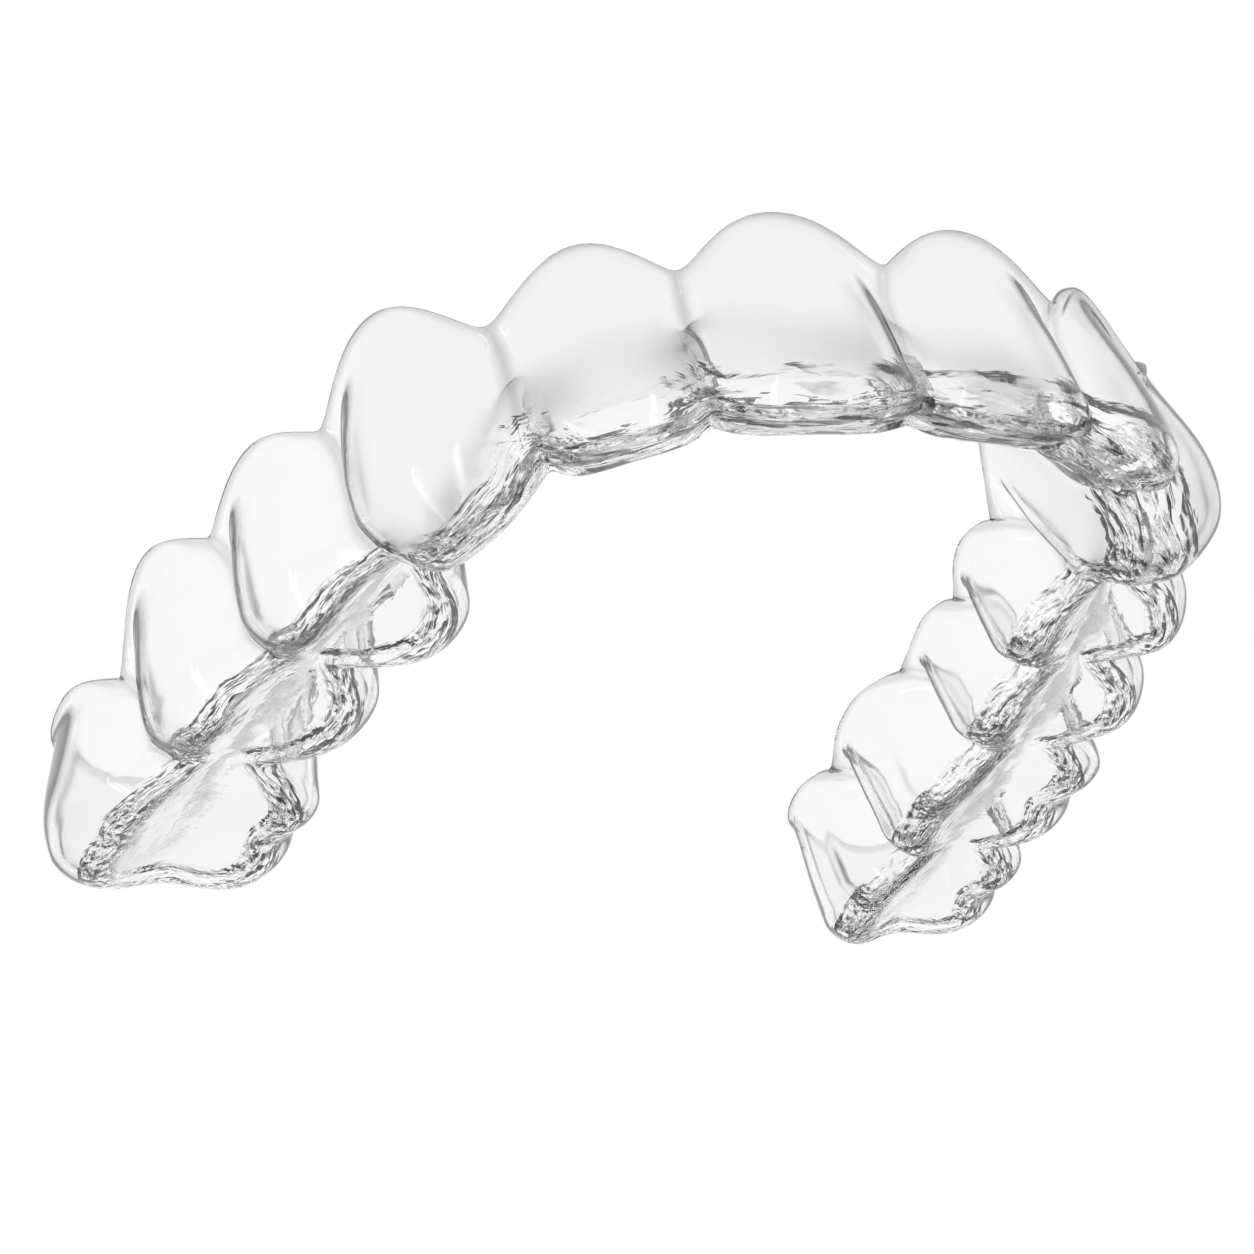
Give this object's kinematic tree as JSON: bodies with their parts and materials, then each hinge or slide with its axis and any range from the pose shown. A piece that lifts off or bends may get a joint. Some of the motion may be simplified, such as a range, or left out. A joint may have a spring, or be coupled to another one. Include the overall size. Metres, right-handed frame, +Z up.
{
  "type": "clear dental aligner",
  "caption": "Clear thermoformed dental aligner: a thin shell of joined upper tooth crowns in a horseshoe arch, open below, with a scalloped trimmed edge.",
  "frame": {"origin": "middle of the footprint, on the surface that the trimmed edge rests on", "axes": "+X across the arch towards its shorter arm, +Y from the front teeth towards the arch's open end, +Z up towards the chewing side"},
  "size_m": [0.056, 0.0492, 0.011],
  "materials": {
    "clear_plastic": "clear gloss"
  },
  "bodies": {
    "root": {"aligner_shell": "clear_plastic"}
  },
  "joints": []
}
